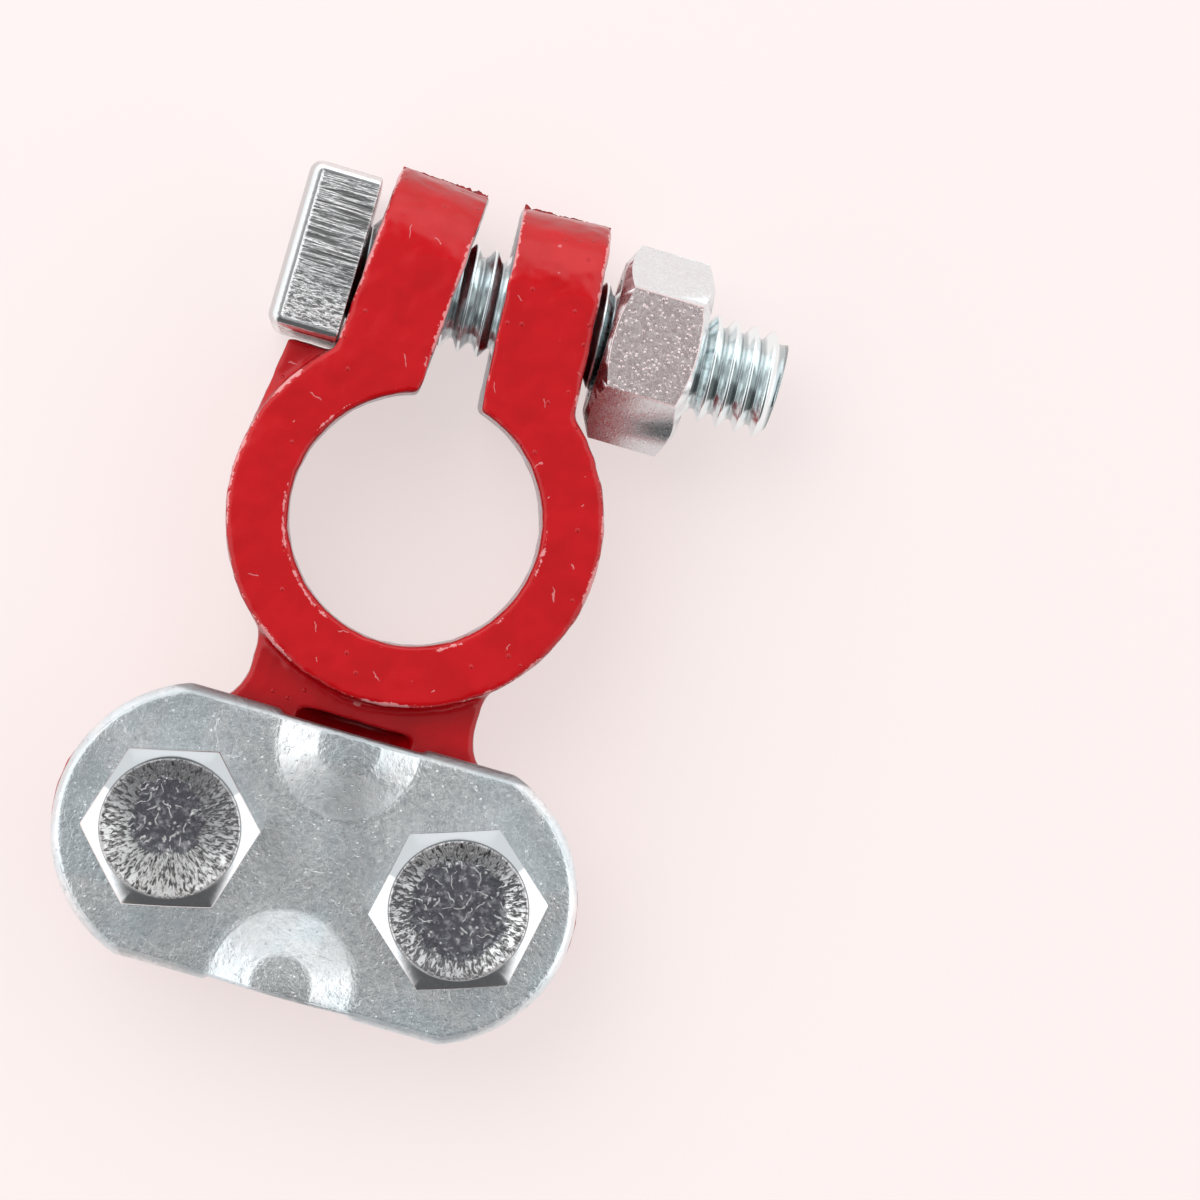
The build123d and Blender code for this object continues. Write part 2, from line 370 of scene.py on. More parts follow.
# %% Bare metal in the bore and the slot
BORE_R, LAND_FOOT, BORE_SPREAD = 9.07, 8.0, 1 / 18  # the bore widens below its land
BOLT_LINE, SLOT_HALF, EAR_LEAN = 16.7, 1.83, radians(3.9)
PAINT_LINE = 12.6  # paint covers the top edges
from_axis = away(tree, across, lengthways)
spread = larger(tree, times(tree, minus(tree, LAND_FOOT, upwards), BORE_SPREAD), 0.0)
in_bore = below(tree, minus(tree, from_axis, spread), BORE_R)
from_slot_middle = size_of(tree, across)
slot_half = plus(tree, times(tree, minus(tree, BOLT_LINE, lengthways), tan(EAR_LEAN)), SLOT_HALF)
in_slot = times(tree, below(tree, from_slot_middle, slot_half), above(tree, lengthways, 0.0))
bare = times(tree, larger(tree, in_bore, in_slot), below(tree, upwards, PAINT_LINE))

# %% Distance to the nearest edge that wears: ears, ring and bore, near the top at 13
EAR_THICK, RING_EDGE_R, BORE_EDGE_R = 6.6, 13.42, 9.45
FAR = 5.0  # added where an edge isn't worn, to put it out of reach
beside_slot = minus(tree, from_slot_middle, slot_half)
off_ears = smaller(tree, size_of(tree, beside_slot),
                   size_of(tree, minus(tree, beside_slot, EAR_THICK)))
off_ears = plus(tree, off_ears, ramp(tree, lengthways, 11.0, 10.5, 0.0, FAR))
off_ring = plus(tree, size_of(tree, minus(tree, from_axis, RING_EDGE_R)),
                plus(tree, ramp(tree, upwards, 12.4, 12.2, 0.0, FAR),
                     ramp(tree, lengthways, 8.0, 8.5, 0.0, FAR)))
off_bore = plus(tree, size_of(tree, minus(tree, from_axis, BORE_EDGE_R)),
                ramp(tree, upwards, 12.5, 12.3, 0.14, FAR))
off_edge = smaller(tree, off_ears, smaller(tree, off_ring, off_bore))

# %% Worn where that distance, made ragged, is small, and more in some patches
ragged = times(tree, cloud(tree, place, 2.0, 4.0, 0.75), 0.9)
knocked = ramp(tree, cloud(tree, place, 0.22, 2.0), 0.40, 0.62, 0.36, 0.64)
pale_marks = below(tree, plus(tree, off_edge, ragged), knocked)

# %% Painted shade: darker red on steep walls, low surfaces, and the neck beside the strap
painted_shade = larger(tree, ramp(tree, faces_up, 0.75, 0.35),
                ramp(tree, upwards, 12.2, 10.0, 0.0, 0.15))
shade_beside_strap = times(tree, ramp(tree, lengthways, -13.8, -16.0, 0.0, 0.8),
                     ramp(tree, upwards, 12.2, 10.0))
painted_shade = times(tree, larger(tree, painted_shade, shade_beside_strap), 0.55)

# %% Layering the paint
pale = larger(tree, times(tree, pale_marks, 0.55), times(tree, scratch, 0.4))
# painted shade: a dark red on steep walls, low surfaces and the neck beside the strap
colour = blend(tree, painted_shade, colour, (0.20, 0.001, 0.004, 1))
colour = blend(tree, pale, colour, (0.88, 0.46, 0.46, 1))
colour = blend(tree, bare, colour, (0.60, 0.61, 0.63, 1))
shader.inputs["Specular IOR Level"].default_value = 0.45
tree.links.new(times(tree, bare, 0.9), shader.inputs["Metallic"])
relief = plus(tree, times(tree, cloud(tree, place, 0.8, 3.0), 0.035), times(tree, dust, 0.07))
relief = minus(tree, relief, times(tree, scratch, 0.02))
end_finish(red_paint, shader, colour, ramp(tree, bare, 0.0, 1.0, 0.2, 0.42), relief)

# %% [markdown]
# ## The same paint on the flash
# Where the two halves of the mould met, a thin fin of metal is left. Its paint is a darker red,
# painted shade for the shade on the thin fin. The fins are too small for wear to show, so a mottled
# dark red is enough.

# %% Fin paint, darkened as painted shade
shaded_fin_paint, tree, shader, place = new_finish("pooled red paint")
shader.inputs["Roughness"].default_value = 0.3
# painted shade: the fins are a mottled dark red
mottle = ramp(tree, cloud(tree, place, 1.4, 3.0), 0.35, 0.65)
tree.links.new(blend(tree, mottle, (0.14, 0.001, 0.003, 1), (0.32, 0.003, 0.007, 1)),
               shader.inputs["Base Color"])
print("finish", shaded_fin_paint.name, len(tree.nodes), "nodes")

# %% [markdown]
# ## Zinc on the strap
# Zinc plating is a bright grey metal with a fine crystal grain. On the strap it has pinholes, and
# flanks that the press tool polished where it drew the two arches up; the flanks are also painted
# whiter, a painted highlight. Pale bluish and darker blotches are painted reflections, and the far
# rolled edge gets painted shade. A plain grey metal would mirror the room evenly and look like
# chrome, so many faint layers are laid over it.

# %% Grain, winding lines, and polished flanks with a painted highlight
zinc_sheet, tree, shader, place = new_finish("zinc sheet", metal=1.0)
tone = use(tree, crystals, Place=place, Scale=1.8)
grain = ramp(tree, cloud(tree, place, 1.3, 6.0, 0.78, 0.6), 0.42, 0.62)
winding = size_of(tree, minus(tree, cloud(tree, place, 1.5, 3.0, 0.6, 0.8), 0.5))
_, faces_ends, faces_up = facing(tree)
faces_ends = size_of(tree, faces_ends)
on_flanks = times(tree, ramp(tree, faces_up, 0.985, 0.95), ramp(tree, faces_ends, 0.30, 0.14))
polish_and_highlight = times(tree, on_flanks, ramp(tree, cloud(tree, place, 0.9, 3.0), 0.38, 0.6, 0.45, 1.0))
outside_polish_and_highlight = minus(tree, 1.0, polish_and_highlight)

# %% Painted reflections as pale and dark blotches, pinholes and stars
bluish_reflection = ramp(tree, cloud(tree, place, 0.2, 3.0), 0.42, 0.62)
shade = ramp(tree, cloud(tree, place, 0.13, 3.0), 0.46, 0.62)
pinholes = use(tree, specks, Place=place, Scale=2.1, Size=0.22, Share=0.22)
elsewhere = add(tree, "ShaderNodeVectorMath", {0: place, 1: (7, 3, 1)}).outputs[0]
stars = use(tree, specks, Place=elsewhere, Scale=1.7, Size=0.17, Share=0.25)
scratch = use(tree, nicks, Place=place, Scale=0.5, Width=0.05, Length=1.2, Share=0.4)

# %% Layering the strap's greys
grey = blend(tree, tone, (0.84, 0.87, 0.88, 1), (0.98, 0.99, 0.99, 1))
for share, colour in (
        (times(tree, grain, 0.35), (0.62, 0.66, 0.68, 1)),
        (times(tree, ramp(tree, winding, 0.06, 0.015, 0.0, 0.5), outside_polish_and_highlight), (1.0, 1.0, 1.0, 1)),
        (times(tree, ramp(tree, winding, 0.10, 0.17, 0.0, 0.42), outside_polish_and_highlight), (0.58, 0.62, 0.64, 1)),
        # painted highlight: the flanks are whitened
        (times(tree, polish_and_highlight, 0.8), (1.0, 1.0, 1.0, 1)),
        # painted reflections: pale bluish blotches, then darker ones
        (times(tree, bluish_reflection, 0.6), (0.78, 0.88, 0.92, 1)),
        (times(tree, shade, 0.3), (0.52, 0.54, 0.55, 1)),
        (times(tree, times(tree, pinholes, outside_polish_and_highlight), 0.35), (0.34, 0.36, 0.38, 1))):
    grey = blend(tree, share, grey, colour)
FAR_EDGE = -16.2  # the strap's long edge next to the neck
# painted shade along the far rolled edge, dimming the light it catches
shade_on_far_edge = ramp(tree, axes_of(tree, place)[1], FAR_EDGE - 0.15, FAR_EDGE + 0.15, 0.0, 0.85)
grey = blend(tree, shade_on_far_edge, grey, (0.34, 0.35, 0.36, 1))

# %% The strap's gloss and relief
rough = larger(tree, ramp(tree, tone, 0.1, 0.9, 0.17, 0.28),
               ramp(tree, faces_ends, 0.06, 0.26, 0.17, 0.52))
relief = times(tree, cloud(tree, place, 2.4, 4.0, 0.7), ramp(tree, polish_and_highlight, 0.0, 1.0, 0.085, 0.03))
relief = plus(tree, relief, times(tree, minus(tree, stars, pinholes), 0.045))
relief = minus(tree, relief, times(tree, scratch, 0.02))
end_finish(zinc_sheet, shader, grey, rough, relief)

# %% [markdown]
# ## Zinc on the clamp bolt
# The square head was drawn through a die before it was plated. Its flats keep the strokes, dark
# and bright in turn, straight at one end and torn at the other, and the thread is smooth and
# bluish. Cloud noise squeezed in two axes and drawn out in the third gives such strokes. The bolt
# is measured first, so that the finish knows where its head ends.

# %% Measuring the clamp bolt
SQUARE_TALL = 5.2
low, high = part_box("clamp_bolt")
bolt_y, bolt_z = (low.y + high.y) / 2 / MM, (low.z + high.z) / 2 / MM
head_x, tip_x = low.x / MM, high.x / MM
seat_x = head_x + SQUARE_TALL
print("clamp bolt from", round(head_x, 2), "to", round(tip_x, 2), "mm")

# %% Where the flats and the thread lie
SQUARE_FLAT = 5.2  # half a flat's width, inside its rolled edges
drawn_zinc, tree, shader, place = new_finish("drawn zinc", metal=1.0)
along, lengthways, upwards = axes_of(tree, place)
from_y, from_z = minus(tree, lengthways, bolt_y), minus(tree, upwards, bolt_z)
off_middle = smaller(tree, size_of(tree, from_y), size_of(tree, from_z))
on_head = times(tree, ramp(tree, along, head_x + 0.85, head_x + 1.15),
                ramp(tree, along, seat_x + 0.15, seat_x - 0.15))
on_flats = times(tree, on_head, ramp(tree, off_middle, SQUARE_FLAT + 0.4, SQUARE_FLAT))
on_thread = ramp(tree, along, seat_x - 0.1, seat_x + 0.1)
# painted shade: the thread's roots are darkened
shade_in_root = times(tree, ramp(tree, away(tree, from_y, from_z), 3.5, 3.15), on_thread)

# %% Strokes of the die
straight = cloud(tree, stretched(tree, place, (0.28, 4.2, 4.2)), 1.0, 3.0, 0.62, 0.3)
torn = cloud(tree, stretched(tree, place, (1.6, 4.5, 4.5)), 1.0, 3.0, 0.7, 0.4)
wander = times(tree, cloud(tree, place, 0.4), 6.0)
rougher = ramp(tree, plus(tree, lengthways, wander), bolt_y + 3.5, bolt_y - 1.5)
streak = add(tree, "ShaderNodeMix", {0: rougher, 2: straight, 3: torn}).outputs[0]
strokes = times(tree, ramp(tree, streak, 0.49, 0.57), on_flats)
shine = times(tree, ramp(tree, streak, 0.47, 0.40), on_flats)

# %% Layering the bolt's greys
tone = use(tree, crystals, Place=place, Scale=3.0)
grey = blend(tree, tone, (0.76, 0.77, 0.77, 1), (0.88, 0.88, 0.88, 1))
for share, colour in (
        (ramp(tree, along, head_x + 0.7, head_x + 0.3), (0.66, 0.68, 0.68, 1)),
        (times(tree, on_thread, 0.95), (0.90, 0.99, 1.0, 1)),
        # painted shade in the thread's roots
        (times(tree, shade_in_root, 0.55), (0.20, 0.27, 0.29, 1)),
        (times(tree, on_flats, 0.6), (0.80, 0.80, 0.795, 1)),
        (times(tree, shine, 0.8), (0.97, 0.97, 0.96, 1)),
        (times(tree, strokes, 0.85), (0.15, 0.15, 0.15, 1))):
    grey = blend(tree, share, grey, colour)
relief = plus(tree, times(tree, cloud(tree, place, 2.5, 3.0, 0.6), 0.015),
              times(tree, times(tree, streak, on_flats), -0.2))
end_finish(drawn_zinc, shader, grey, ramp(tree, strokes, 0.0, 1.0, 0.18, 0.36), relief)

# %% [markdown]
# ## Zinc on the nut
# The nut was pressed, and its flats are grained like orange peel. The flat that lies uppermost is
# tinted a warm pink. Noise alone looks soft, so round specks are raised among it.

# %% The nut's plating
TOP_FLAT = 12.7
nut_zinc, tree, shader, place = new_finish("nut zinc", metal=1.0)
tone = use(tree, crystals, Place=place, Scale=3.4)
on_top_flat = ramp(tree, axes_of(tree, place)[2], TOP_FLAT - 0.1, TOP_FLAT + 0.1)
grey = blend(tree, tone, (0.76, 0.80, 0.81, 1), (0.86, 0.92, 0.94, 1))
top_flat_tint = blend(tree, tone, (0.86, 0.66, 0.655, 1), (1.0, 0.86, 0.85, 1))
grey = blend(tree, times(tree, on_top_flat, 0.85), grey, top_flat_tint)
grain = use(tree, specks, Place=place, Scale=4.2, Size=0.42, Share=0.35)
relief = plus(tree, times(tree, cloud(tree, place, 3.4, 3.0, 0.65), 0.06),
              times(tree, grain, 0.035))
relief = times(tree, relief, ramp(tree, on_top_flat, 0.0, 1.0, 0.25, 1.0))
end_finish(nut_zinc, shader, grey, ramp(tree, tone, 0.1, 0.9, 0.22, 0.36), relief)

# %% [markdown]
# ## Zinc in the struck dishes
# The cable bolts' heads were upset cold, and the punch left a dish in each: its wall is torn in
# short rays, and its floor is pitted and dark with bright threads of metal. The rays are noise laid
# on a circle: the direction from the head's middle is scaled up, so the noise changes quickly
# round the dish and slowly along a ray. Light and shade are painted on as well: the wall is paler
# towards the near side and darker on the side away from the light, and the far side of the head's
# top is darker, a painted shade.

# %% The wall of a dish
RAYS = 19.0


def towards(tree, middle, out, degrees):
    """1 on the side of the head that lies in a direction, -1 opposite."""
    way = (cos(radians(degrees)), sin(radians(degrees)), 0)
    along = add(tree, "ShaderNodeVectorMath", {0: middle, 1: way}, operation="DOT_PRODUCT")
    return over(tree, along.outputs["Value"], out)


def dish_wall(tree, place, middle, out, bright_side):
    """The wall's colour, with painted light and shade, and its rays."""
    x, y, _ = axes_of(tree, middle)
    radial = add(tree, "ShaderNodeCombineXYZ",
                 {0: times(tree, over(tree, x, out), RAYS),
                  1: times(tree, over(tree, y, out), RAYS), 2: times(tree, out, 1.9)}).outputs[0]
    rays = ramp(tree, cloud(tree, radial, 1.0, 4.0, 0.7, 0.6), 0.40, 0.54)
    # painted light: the wall is paler towards the near side (smaller y), over a random tone
    pale_marks = minus(tree, cloud(tree, place, 0.3, 2.0), times(tree, y, 0.04))
    metal = blend(tree, ramp(tree, pale_marks, 0.36, 0.62), (0.75, 0.75, 0.755, 1), (1.0, 1.0, 0.99, 1))
    wall = blend(tree, rays, (0.13, 0.13, 0.13, 1), metal)
    # painted shade: the wall darkens on the side away from bright_side
    wander = times(tree, minus(tree, cloud(tree, place, 0.5, 3.0), 0.5), 1.6)
    side = plus(tree, towards(tree, middle, out, bright_side), wander)
    return blend(tree, ramp(tree, side, 0.35, -0.75, 0.0, 0.52), wall, (0.20, 0.20, 0.21, 1)), rays


# %% The floor of a dish
def dish_floor(tree, place):
    """The floor's colour and its relief in millimetres."""
    pits = cloud(tree, place, 1.7, 4.0, 0.68)
    sparks = larger(tree, use(tree, specks, Place=place, Scale=2.3, Size=0.38, Share=0.3),
                    use(tree, nicks, Place=place, Scale=1.3, Width=0.07, Length=0.6, Share=0.85))
    floor = blend(tree, ramp(tree, pits, 0.46, 0.72), (0.18, 0.18, 0.205, 1), (0.60, 0.60, 0.635, 1))
    relief = plus(tree, times(tree, pits, 0.14), times(tree, sparks, 0.12))
    return blend(tree, sparks, floor, (1.0, 1.0, 1.0, 1)), relief


# %% A whole head
DISH_EDGE = 4.8


def dished_zinc(name, centre, turned, floor_r, floor_at, top_z, bright_side):
    """Plating for a head turned by some degrees, with a dish about its centre and painted shade."""
    finish, tree, shader, place = new_finish(name, metal=1.0)
    middle = add(tree, "ShaderNodeVectorMath", {0: place, 1: (*centre, 0)}, operation="SUBTRACT")
    x, y, z = axes_of(tree, middle.outputs[0])
    out = away(tree, x, y)
    on_top = ramp(tree, z, top_z - 1.1, top_z - 0.9)
    in_dish = times(tree, ramp(tree, out, DISH_EDGE + 0.15, DISH_EDGE), on_top)
    from_floor = away(tree, minus(tree, x, floor_at[0]), minus(tree, y, floor_at[1]))
    ragged = plus(tree, from_floor, times(tree, cloud(tree, place, 0.7, 4.0, 0.65), 2.0))
    in_floor = times(tree, ramp(tree, ragged, floor_r + 1.2, floor_r + 0.95), on_top)
    wall, rays = dish_wall(tree, place, middle.outputs[0], out, bright_side)
    floor, floor_relief = dish_floor(tree, place)
    tone = use(tree, crystals, Place=place, Scale=3.0)
    # painted shade on the far side of the head's top
    shaded_far_side = ramp(tree, towards(tree, middle.outputs[0], out, turned + 90), 0.48, 0.52, 0.0, 0.9)
    grey = blend(tree, tone, (0.80, 0.81, 0.82, 1), (0.90, 0.905, 0.91, 1))
    grey = blend(tree, times(tree, shaded_far_side, on_top), grey, (0.45, 0.47, 0.48, 1))
    grey = blend(tree, in_dish, grey, wall)
    grey = blend(tree, times(tree, in_floor, in_dish), grey, floor)
    relief = plus(tree, times(tree, in_dish, times(tree, rays, 0.11)),
                  times(tree, in_floor, floor_relief))
    relief = plus(tree, relief, times(tree, cloud(tree, place, 1.5, 3.0), 0.008))
    end_finish(finish, shader, grey, ramp(tree, in_dish, 0.0, 1.0, 0.16, 0.3), relief)
    return finish


# %% [markdown]
# ## The casting
# The CAD solid has the right shape and broken edges, but a cast and painted piece is softer all
# over. Subdividing it would pull its cuts out of shape, so a copy of its mesh is merged and rebuilt
# as a fine even skin of small faces, smoothed a little. Last come the low lumps of a rough casting
# under thick paint, pressed inwards only, so that nothing grows past the CAD size.

# %% A copy of a CAD piece, with a new skin
def copy_of(node):
    """A CAD node's mesh as one closed piece of work, in millimetres."""
    work = bmesh.new()
    work.from_mesh(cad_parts[node].data)
    bmesh.ops.transform(work, matrix=Matrix.Scale(1 / MM, 4), verts=work.verts)
    bmesh.ops.remove_doubles(work, verts=work.verts, dist=0.0005)
    return work


def skin(piece, size, passes):
    """Rebuilds a piece from small even faces and smooths it."""
    remesh = piece.modifiers.new("skin", "REMESH")
    remesh.mode = "VOXEL"
    remesh.voxel_size = size * MM
    remesh.use_smooth_shade = True
    smooth = piece.modifiers.new("soften", "SMOOTH")
    smooth.factor = 0.5
    smooth.iterations = passes


# %% The painted casting
LUMP_WIDTH, LUMP_HEIGHT = 1.3, 0.16
casting = hand_over(copy_of("clamp_body"), "painted_casting", "casting", "clamp_body",
                    red_paint, flats=False)
skin(casting, 0.27, 4)
lumps = bpy.data.textures.new("casting lumps", "CLOUDS")
lumps.noise_scale = LUMP_WIDTH * MM
lumps.noise_depth = 1
uneven = casting.modifiers.new("lumps", "DISPLACE")
uneven.texture = lumps
uneven.texture_coords = "LOCAL"
uneven.strength = LUMP_HEIGHT * MM
uneven.mid_level = 1.0
print("casting lumps at most", LUMP_HEIGHT, "mm deep")

# %% [markdown]
# ## Flash on the ears
# Molten metal creeps between the mould's halves and freezes as a thin fin with a torn edge, here
# across the tips of the two ears. Cutting it into the casting would need faces finer than the skin
# has, so each fin is a strip of its own: a narrow grid whose outer edge is torn by noise.

# %% A torn fin
FIN_STEPS, FIN_THICK, FIN_BURIED = 60, 0.16, -0.6


def flash_strip(name, ends, depths, seed):
    """A ragged fin from one end to the other, reaching out as far as the two depths allow."""
    work = bmesh.new()
    bmesh.ops.create_grid(work, x_segments=FIN_STEPS, y_segments=1, size=0.5)
    for corner in work.verts:
        share = corner.co.x + 0.5
        torn = (0.5 + 0.5 * noise.noise(Vector((share * 14, seed, 0)))
                + 0.35 * noise.noise(Vector((share * 40, seed, 5))))
        deepest = depths[0] + (depths[1] - depths[0]) * share
        reach = deepest * min(max(0.1, torn), 1) if corner.co.y > 0 else FIN_BURIED
        wave = 0.2 * noise.noise(Vector((share * 5, seed, 9)))
        corner.co = ends[0].lerp(ends[1], share) + Vector((0, reach, wave))
    bmesh.ops.solidify(work, geom=work.faces, thickness=FIN_THICK)
    return hand_over(work, name, "casting", None, shaded_fin_paint)


# %% A fin on each ear
EAR_CORNER, TIP_SLOPE = 8.6, 0.07
low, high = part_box("clamp_body")
tip_y, ear_middle = high.y / MM - 0.02, high.z / MM / 2
for name, span, depths in (("left_flash", (-7.9, -1.4), (0.05, 0.45)),
                           ("right_flash", (1.4, 7.9), (0.42, 0.02))):
    ends = [Vector((x, tip_y - TIP_SLOPE * (EAR_CORNER - abs(x)), ear_middle)) for x in span]
    flash_strip(name, ends, depths, span[0])

# %% [markdown]
# ## The strap
# The strap is blanked from sheet and its arches are pressed up, so its edges roll over and every
# crease is round. The CAD piece has the arches already. The same skin as the casting's, finer and
# smoothed more, gives them the flow of pressed metal.

# %% The cable strap
strap = hand_over(copy_of("cable_plate"), "cable_strap", "plate", "cable_plate",
                  zinc_sheet, flats=False)
skin(strap, 0.17, 9)
print("strap skin", strap.modifiers["skin"].voxel_size / MM, "mm")

# %% [markdown]
# ## Cable bolts
# Each bolt has a hexagon head with a struck dish and a threaded shank. The dish is part of the
# head's profile, the six flats are milled off, and the chamfer's slope leaves the flats' curved
# shoulders by itself, as it does on a lathe. A ready-made cone and prism would miss them.

# %% Sizes of the heads
CABLE_HEAD_TALL, CABLE_HEAD_ACROSS = 4.1, 11.11
CABLE_THREAD_R, CABLE_PITCH, CABLE_SHANK = 3.175, 1.27, 11.1
CORNER_R, FACE_R, DISH_DEEP = 6.6, 5.03, 0.7
corner_slope = tan(radians(27))


def dished_profile(floor_r):
    """Half the head's outline, from the dish's middle round to the seat's."""
    top = CABLE_HEAD_TALL
    shoulder = top - (CORNER_R - FACE_R) * corner_slope
    return [(0, top - DISH_DEEP), (floor_r, top - DISH_DEEP), (4.7, top - 0.05), (4.85, top),
            (FACE_R, top), (CORNER_R, shoulder), (CORNER_R, 0), (0, 0)]


# %% One cable bolt
def cable_bolt(node, body, turned, floor_r, floor_at, bright_side):
    """A bolt in its node's place, its head turned by some degrees."""
    low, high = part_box(node)
    centre = (low.x + high.x) / 2 / MM, (low.y + high.y) / 2 / MM
    top_z = high.z / MM
    seat = Vector((*centre, top_z - CABLE_HEAD_TALL))
    head = turn(dished_profile(floor_r))
    mill_hexagon(head, CABLE_HEAD_ACROSS, turned + 30)
    soften(head, 0.1)
    shank = cut_thread(CABLE_THREAD_R, CABLE_PITCH, CABLE_SHANK)
    bmesh.ops.rotate(shank, cent=(0, 0, 0), matrix=Matrix.Rotation(pi, 3, "X"), verts=shank.verts)
    join_work(head, shank)
    finish = dished_zinc(node.replace("cable_bolt_", "dished zinc "), centre, turned, floor_r,
                         floor_at, top_z, bright_side)
    hand_over(head, node + "_turned", body, node, finish, Matrix.Translation(seat))


# %% Both cable bolts
cable_bolt("cable_bolt_left", "left_screw", 13.2, 2.7, (-0.4, 0.65), 262)
cable_bolt("cable_bolt_right", "right_screw", 18.6, 3.4, (0.0, 0.0), 46)

# %% [markdown]
# ## Clamp bolt
# A square head is forged, so its corners and its outer rim are rolled over widely and its seat
# stays sharp. It starts as a cube, which has just the edges to round. The bolt is made standing
# up and then laid along X.

# %% The square head
ROLLED = 0.9
along_x = Matrix(((0, 0, 1, 0), (1, 0, 0, 0), (0, 1, 0, 0), (0, 0, 0, 1)))
low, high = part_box("clamp_bolt")
square = bmesh.new()
bmesh.ops.create_cube(square, size=1)
bmesh.ops.scale(square, vec=((high.y - low.y) / MM, (high.z - low.z) / MM, SQUARE_TALL),
                verts=square.verts)
bmesh.ops.translate(square, vec=(0, 0, SQUARE_TALL / 2), verts=square.verts)
upright = [e for e in square.edges if abs(e.verts[0].co.z - e.verts[1].co.z) > 1]
round_edges(square, upright, ROLLED, 5)
outer_rim = [e for e in square.edges if max(v.co.z for v in e.verts) < 0.01]
round_edges(square, outer_rim, ROLLED, 5)
soften(square, 0.12)
print("square head", round((high.y - low.y) / MM, 2), "mm across flats")

# %% Its shank, and handing over
CLAMP_THREAD_R, CLAMP_PITCH = 3.97, 1.411
shank = cut_thread(CLAMP_THREAD_R, CLAMP_PITCH, tip_x - seat_x)
bmesh.ops.translate(shank, vec=(0, 0, SQUARE_TALL), verts=shank.verts)
join_work(square, shank)
hand_over(square, "clamp_bolt_turned", "bolt", "clamp_bolt", drawn_zinc,
          Matrix.Translation((head_x, bolt_y, bolt_z)) @ along_x)

# %% [markdown]
# ## Nut
# The nut is chamfered on both faces, and its bore opens in a small cone at each end. Its profile
# is a closed ring away from the axis, so the spin leaves the hole, and the bolt's thread fills it.

# %% The nut
NUT_ACROSS, NUT_BORE_R, NUT_MOUTH_R, NUT_MOUTH = 12.7, 4.02, 4.5, 0.45
NUT_FACE_R, NUT_CORNER_R = 5.75, 7.6
low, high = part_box("clamp_nut")
tall = (high.x - low.x) / MM
bevel = (NUT_CORNER_R - NUT_FACE_R) * corner_slope
nut = turn([(NUT_BORE_R, NUT_MOUTH), (NUT_MOUTH_R, 0), (NUT_FACE_R, 0), (NUT_CORNER_R, bevel),
            (NUT_CORNER_R, tall - bevel), (NUT_FACE_R, tall), (NUT_MOUTH_R, tall),
            (NUT_BORE_R, tall - NUT_MOUTH), (NUT_BORE_R, NUT_MOUTH)])
mill_hexagon(nut, NUT_ACROSS, 30)
soften(nut, 0.42, segments=3)
hand_over(nut, "clamp_nut_turned", "nut", "clamp_nut", nut_zinc,
          Matrix.Translation((low.x / MM, bolt_y, bolt_z)) @ along_x)

# %% [markdown]
# ## Floor
# The clamp lies on pale paper that keeps its shadow. Pushing the lamps until paper looks white
# would bleach the clamp too. So the paper glows by itself, but only for rays from the camera and
# from mirrors: the glow is left out of the soft light that falls on the clamp.

# %% Paper sheet
PAPER_HALF, PAPER_BELOW = 2.0, 0.0002
paper = bmesh.new()
bmesh.ops.create_grid(paper, x_segments=1, y_segments=1, size=PAPER_HALF)
bmesh.ops.translate(paper, vec=(0, 0, -PAPER_BELOW), verts=paper.verts)
mesh = bpy.data.meshes.new("paper")
paper.to_mesh(mesh)
paper.free()
floor = bpy.data.objects.new("paper", mesh)
bpy.context.scene.collection.objects.link(floor)
print("paper", 2 * PAPER_HALF, "m wide")

# %% Pale finish
GLOW_SHARE = 0.68
pale_paper, tree, shader, _ = new_finish("pale paper")
shader.inputs["Base Color"].default_value = (0.94, 0.86, 0.845, 1)
shader.inputs["Roughness"].default_value = 0.9
shader.inputs["Specular IOR Level"].default_value = 0.0
glow = add(tree, "ShaderNodeEmission", {"Color": (0.98, 0.875, 0.86, 1)}).outputs[0]
path = add(tree, "ShaderNodeLightPath").outputs
seen = larger(tree, path["Is Camera Ray"],
              larger(tree, path["Is Glossy Ray"], path["Is Transmission Ray"]))
mixed = add(tree, "ShaderNodeMixShader",
            {0: times(tree, seen, GLOW_SHARE), 1: shader.outputs[0], 2: glow}).outputs[0]
tree.links.new(mixed, tree.nodes["Material Output"].inputs["Surface"])
mesh.materials.append(pale_paper)
print("finish", pale_paper.name, len(tree.nodes), "nodes")

# %% [markdown]
# ## Light tent
# Polished metal shows only what it mirrors, so it needs bright walls all round and something dim
# to mirror as well, or it looks like white plastic. Real panels could stand there, but round
# patches drawn on the sky cast no shadows and are easy to move. Each leans from straight up, to
# the viewer's side or away from it.

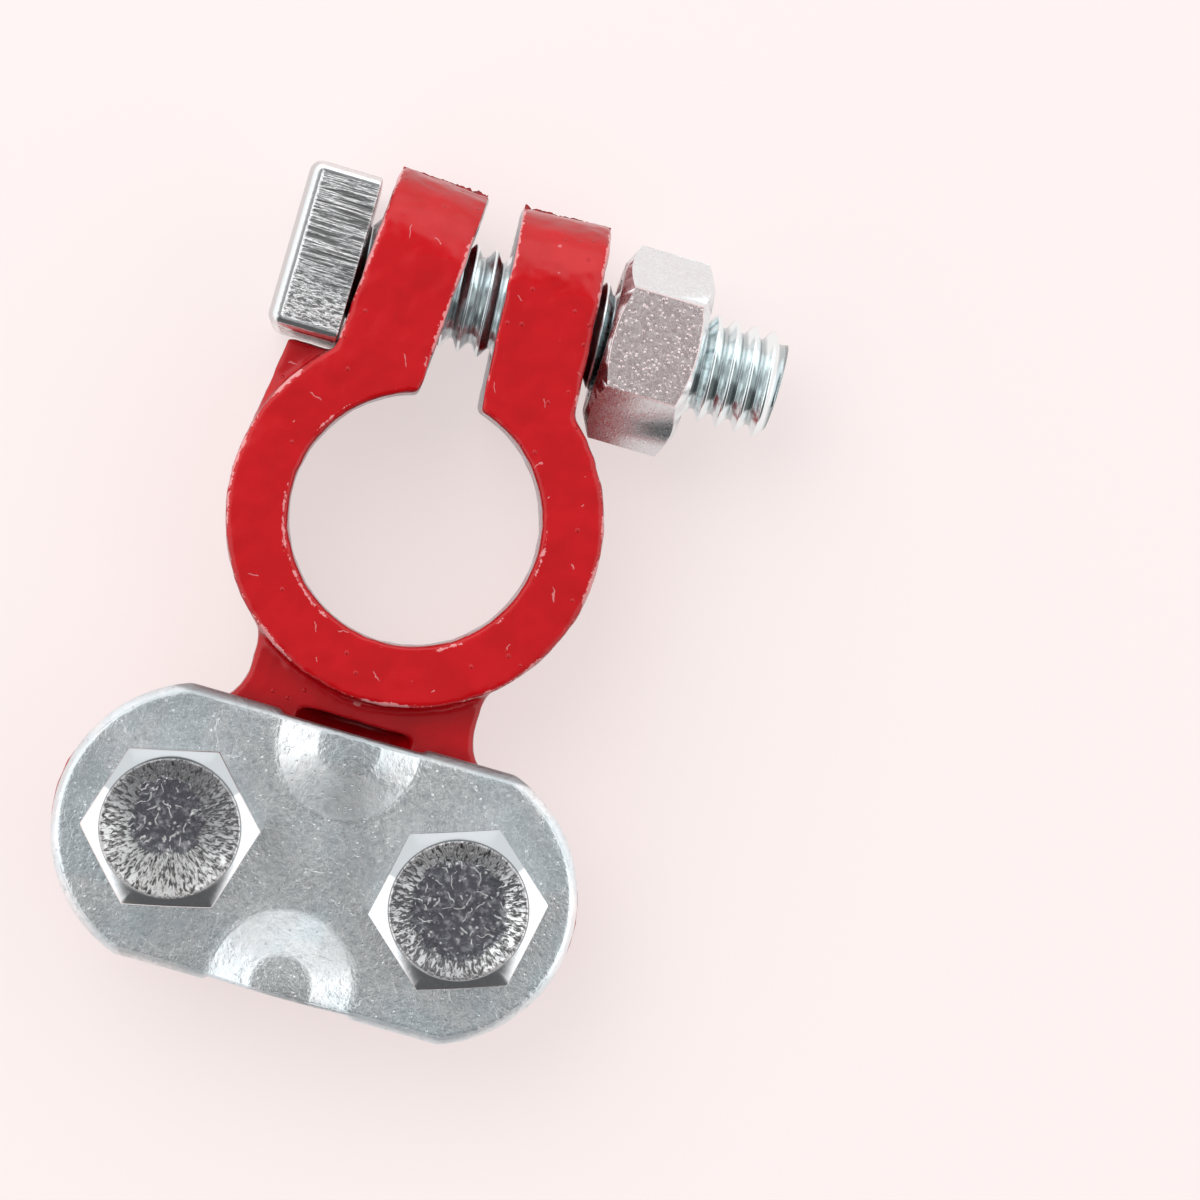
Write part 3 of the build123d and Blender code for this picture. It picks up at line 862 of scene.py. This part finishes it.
# %% Patches on the sky
TENT_STRENGTH = 1.35
VIEWER_SIDE = Vector((0.279, -0.960, 0))
PATCHES = (  # lean in degrees, full inside, gone outside, strength inside
    (0, 23, 37, 0.3), (56, 26, 46, 0.08), (-30, 9, 17, 0.35), (-58, 14, 30, 1.15))
world = bpy.data.worlds.new("light tent")
bpy.context.scene.world = world
world.use_nodes = True
tree = world.node_tree
direction = add(tree, "ShaderNodeTexCoord").outputs["Generated"]
strength = TENT_STRENGTH
for lean, inside, outside, dimmed in PATCHES:
    aim = VIEWER_SIDE * sin(radians(lean)) + Vector((0, 0, cos(radians(lean))))
    near = add(tree, "ShaderNodeVectorMath", {0: direction, 1: aim}, operation="DOT_PRODUCT")
    patch = ramp(tree, near.outputs["Value"], cos(radians(outside)), cos(radians(inside)),
                 1.0, dimmed)
    strength = times(tree, patch, strength)
print(len(PATCHES), "patches on the tent")

# %% A warm, dimmer rim where the tent meets the paper
above_floor = axes_of(tree, direction)[2]
strength = times(tree, ramp(tree, above_floor, 0.0, 0.3, 0.74, 1.0), strength)
tint = blend(tree, ramp(tree, above_floor, 0.05, 0.4), (0.985, 0.88, 0.865, 1),
             (0.97, 0.985, 1.0, 1))
tree.links.new(tint, tree.nodes["Background"].inputs["Color"])
tree.links.new(strength, tree.nodes["Background"].inputs["Strength"])
print("tent", len(tree.nodes), "nodes")

# %% [markdown]
# ## A broad lamp
# The tent alone gives hardly any shadow. One wide lamp at the far left draws a soft one to the near
# right and models the casting's walls. It is hidden from mirrors, where it would show as a disk.

# %% The lamp
lamp = bpy.data.objects.new("broad lamp", bpy.data.lights.new("broad lamp", "AREA"))
bpy.context.scene.collection.objects.link(lamp)
lamp.data.shape = "DISK"
lamp.data.size = 0.5
lamp.data.energy = 1.7
lamp.location = (-0.28, 0.22, 0.52)
lamp.rotation_euler = (-lamp.location).to_track_quat("-Z", "Y").to_euler()
lamp.visible_glossy = False
print("lamp", lamp.data.energy, "W, looking at the clamp from", round(lamp.location.length, 2), "m")

# %% [markdown]
# ## Camera
# The clamp is seen from almost straight above, through a long lens that keeps the ring round and
# the bolts upright. A short lens would swell the nearer parts.

# %% The camera
camera = bpy.data.objects.new("camera", bpy.data.cameras.new("camera"))
bpy.context.scene.collection.objects.link(camera)
camera.location = (-0.004, -0.0031, 0.29908)
camera.rotation_euler = (radians(-0.7796), radians(-3.5827), radians(16.1961))
camera.data.lens = 120.0
camera.data.sensor_width = 36
camera.data.clip_start = 0.01
bpy.context.scene.camera = camera
bpy.context.scene.view_settings.view_transform = "Standard"
print("camera", camera.location.z, "m up, lens", camera.data.lens, "mm")
